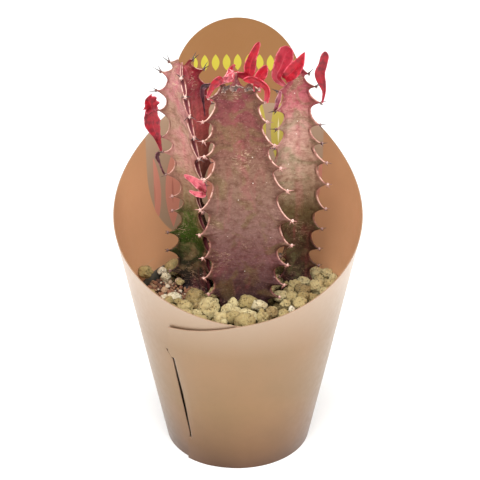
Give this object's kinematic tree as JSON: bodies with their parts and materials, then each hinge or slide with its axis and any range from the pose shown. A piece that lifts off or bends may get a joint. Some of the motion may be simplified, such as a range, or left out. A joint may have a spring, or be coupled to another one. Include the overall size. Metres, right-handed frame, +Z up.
{
  "type": "potted euphorbia",
  "caption": "Upright ribbed red succulent with toothed, spiny edges and small crimson leaves, in a round nursery pot topped with pumice, inside a rolled card sleeve with a round header tab.",
  "frame": {"origin": "centre of the nursery pot's underside, on the surface that the part stands on", "axes": "+Z up along the stems, -Y to the sleeve's low front, +Y to the header tab, +X to the right seen from the front"},
  "size_m": [0.1238, 0.1334, 0.2165],
  "materials": {
    "card": "satin bronze-brown print on coated card, with an unprinted paler taupe panel inside the back",
    "pot": "matt black moulded plastic, dusty at the rim",
    "soil": "dark crumbly potting soil",
    "pumice": "dry pitted yellowish grey pumice",
    "grit": "dry red-brown grit",
    "stem": "waxy skin, mauve-pink to olive, with pale horny rib edges and dark spines",
    "leaf_crimson": "glossy crimson",
    "leaf_pink": "satin pink",
    "leaf_withered": "dry dark purple"
  },
  "bodies": {
    "root": {"card_sleeve": "card", "nursery_pot": "pot", "soil": "soil", "pumice_topdressing": "pumice", "brown_grit": "grit", "stem_front": "stem", "stem_left": "stem", "stem_right": "stem", "leaf_left_tall": "leaf_crimson", "leaf_left_dried": "leaf_withered", "leaf_left_pink": "leaf_pink", "leaf_left_withered": "leaf_withered", "leaf_left_back": "leaf_crimson", "leaf_front_left": "leaf_crimson", "leaf_front_bud": "leaf_crimson", "leaf_front_tall": "leaf_crimson", "leaf_front_small": "leaf_crimson", "leaf_front_arch": "leaf_crimson", "leaf_front_back": "leaf_crimson", "leaf_right_broad": "leaf_crimson", "leaf_right_pointed": "leaf_crimson", "leaf_right_hanging": "leaf_withered", "leaf_right_twisted": "leaf_crimson", "leaf_right_back": "leaf_crimson"}
  },
  "joints": []
}
